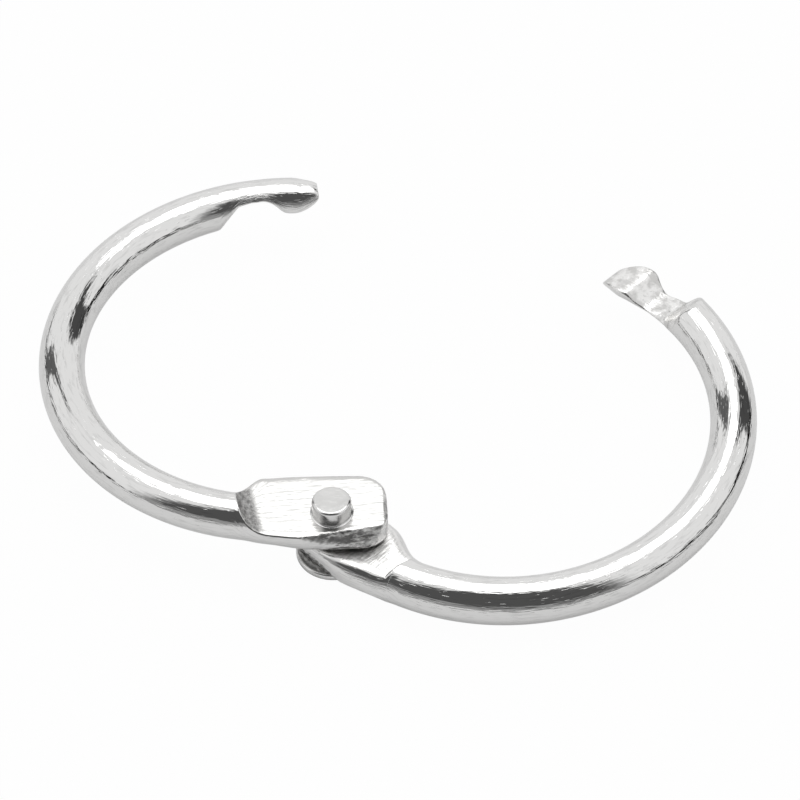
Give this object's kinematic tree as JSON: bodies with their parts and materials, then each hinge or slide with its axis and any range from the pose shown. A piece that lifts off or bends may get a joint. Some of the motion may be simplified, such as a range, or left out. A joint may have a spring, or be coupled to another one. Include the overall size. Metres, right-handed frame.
{
  "type": "binder ring",
  "caption": "Hinged loose-leaf binder ring of bright plated wire: half rings pivot on a rivet through flattened ends and hook together at the clasp.",
  "frame": {"origin": "middle of the closed ring's loop, in the plane where the two lugs meet", "axes": "+Z along the rivet towards its plain end, +Y from the rivet to the middle of the closed clasp, +X to the side that the lower half ring opens to"},
  "size_m": [0.0458, 0.0389, 0.006],
  "materials": {
    "wire": "bright nickel plate with drawing marks",
    "rivet": "bright nickel plate, slightly dull at the cut end"
  },
  "bodies": {
    "upper_half": {"upper_half_ring": "wire", "hinge_rivet": "rivet"},
    "lower_half": {"lower_half_ring": "wire"}
  },
  "joints": [
    {"name": "ring_hinge", "type": "hinge", "parent": "upper_half", "child": "lower_half", "pos_m": [0, -0.01468, 0], "axis": [0, 0, -1], "range_deg": [-54, 90]}
  ]
}
